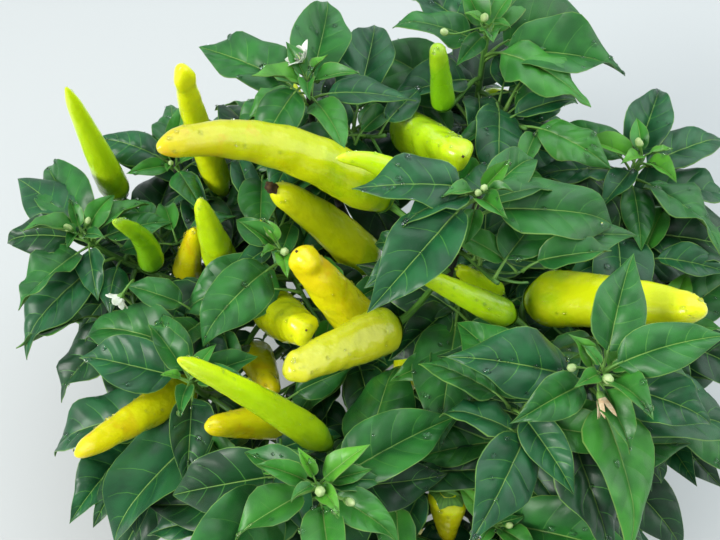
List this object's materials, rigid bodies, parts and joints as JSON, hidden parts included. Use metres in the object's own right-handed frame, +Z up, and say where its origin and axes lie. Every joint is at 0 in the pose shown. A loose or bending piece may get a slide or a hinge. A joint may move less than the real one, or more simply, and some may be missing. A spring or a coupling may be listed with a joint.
{
  "type": "pepper plant",
  "caption": "Compact bushy pepper plant rooted in level ground, with a short forking stem, glossy pointed leaves and long tapered waxy fruit standing out of the crown.",
  "frame": {"origin": "middle of the flat cut under the stem, at ground level", "axes": "+Z up along the stem; -Y faces the side where most of the fruit shows; +X to the right from there"},
  "size_m": [0.5625, 0.5447, 0.3897],
  "materials": {
    "stem": "ribbed, woody at the foot",
    "bough": "smooth, ridged, green",
    "foliage": "glossy leaf, waxy fruit",
    "fruit": "waxy",
    "blossom": "matte petal"
  },
  "bodies": {
    "root": {"stem": "stem", "bough_left": "bough", "bough_right": "bough", "bough_back": "bough", "bough_front": "bough", "limb_centre": "bough", "limb_inner": "bough", "limb_low_middle": "bough", "limb_right": "bough", "limb_far_right": "bough", "limb_low_right": "bough", "limb_back": "bough", "limb_back_right": "bough", "limb_left": "bough", "limb_back_left": "bough", "limb_front_left": "bough", "limb_front": "bough", "limb_low_front": "bough", "foliage_centre": "foliage", "foliage_inner": "foliage", "foliage_low_middle": "foliage", "foliage_right": "foliage", "foliage_far_right": "foliage", "foliage_low_right": "foliage", "foliage_back": "foliage", "foliage_back_right": "foliage", "foliage_left": "foliage", "foliage_back_left": "foliage", "foliage_front_left": "foliage", "foliage_front": "foliage", "foliage_low_front": "foliage"}
  },
  "joints": []
}
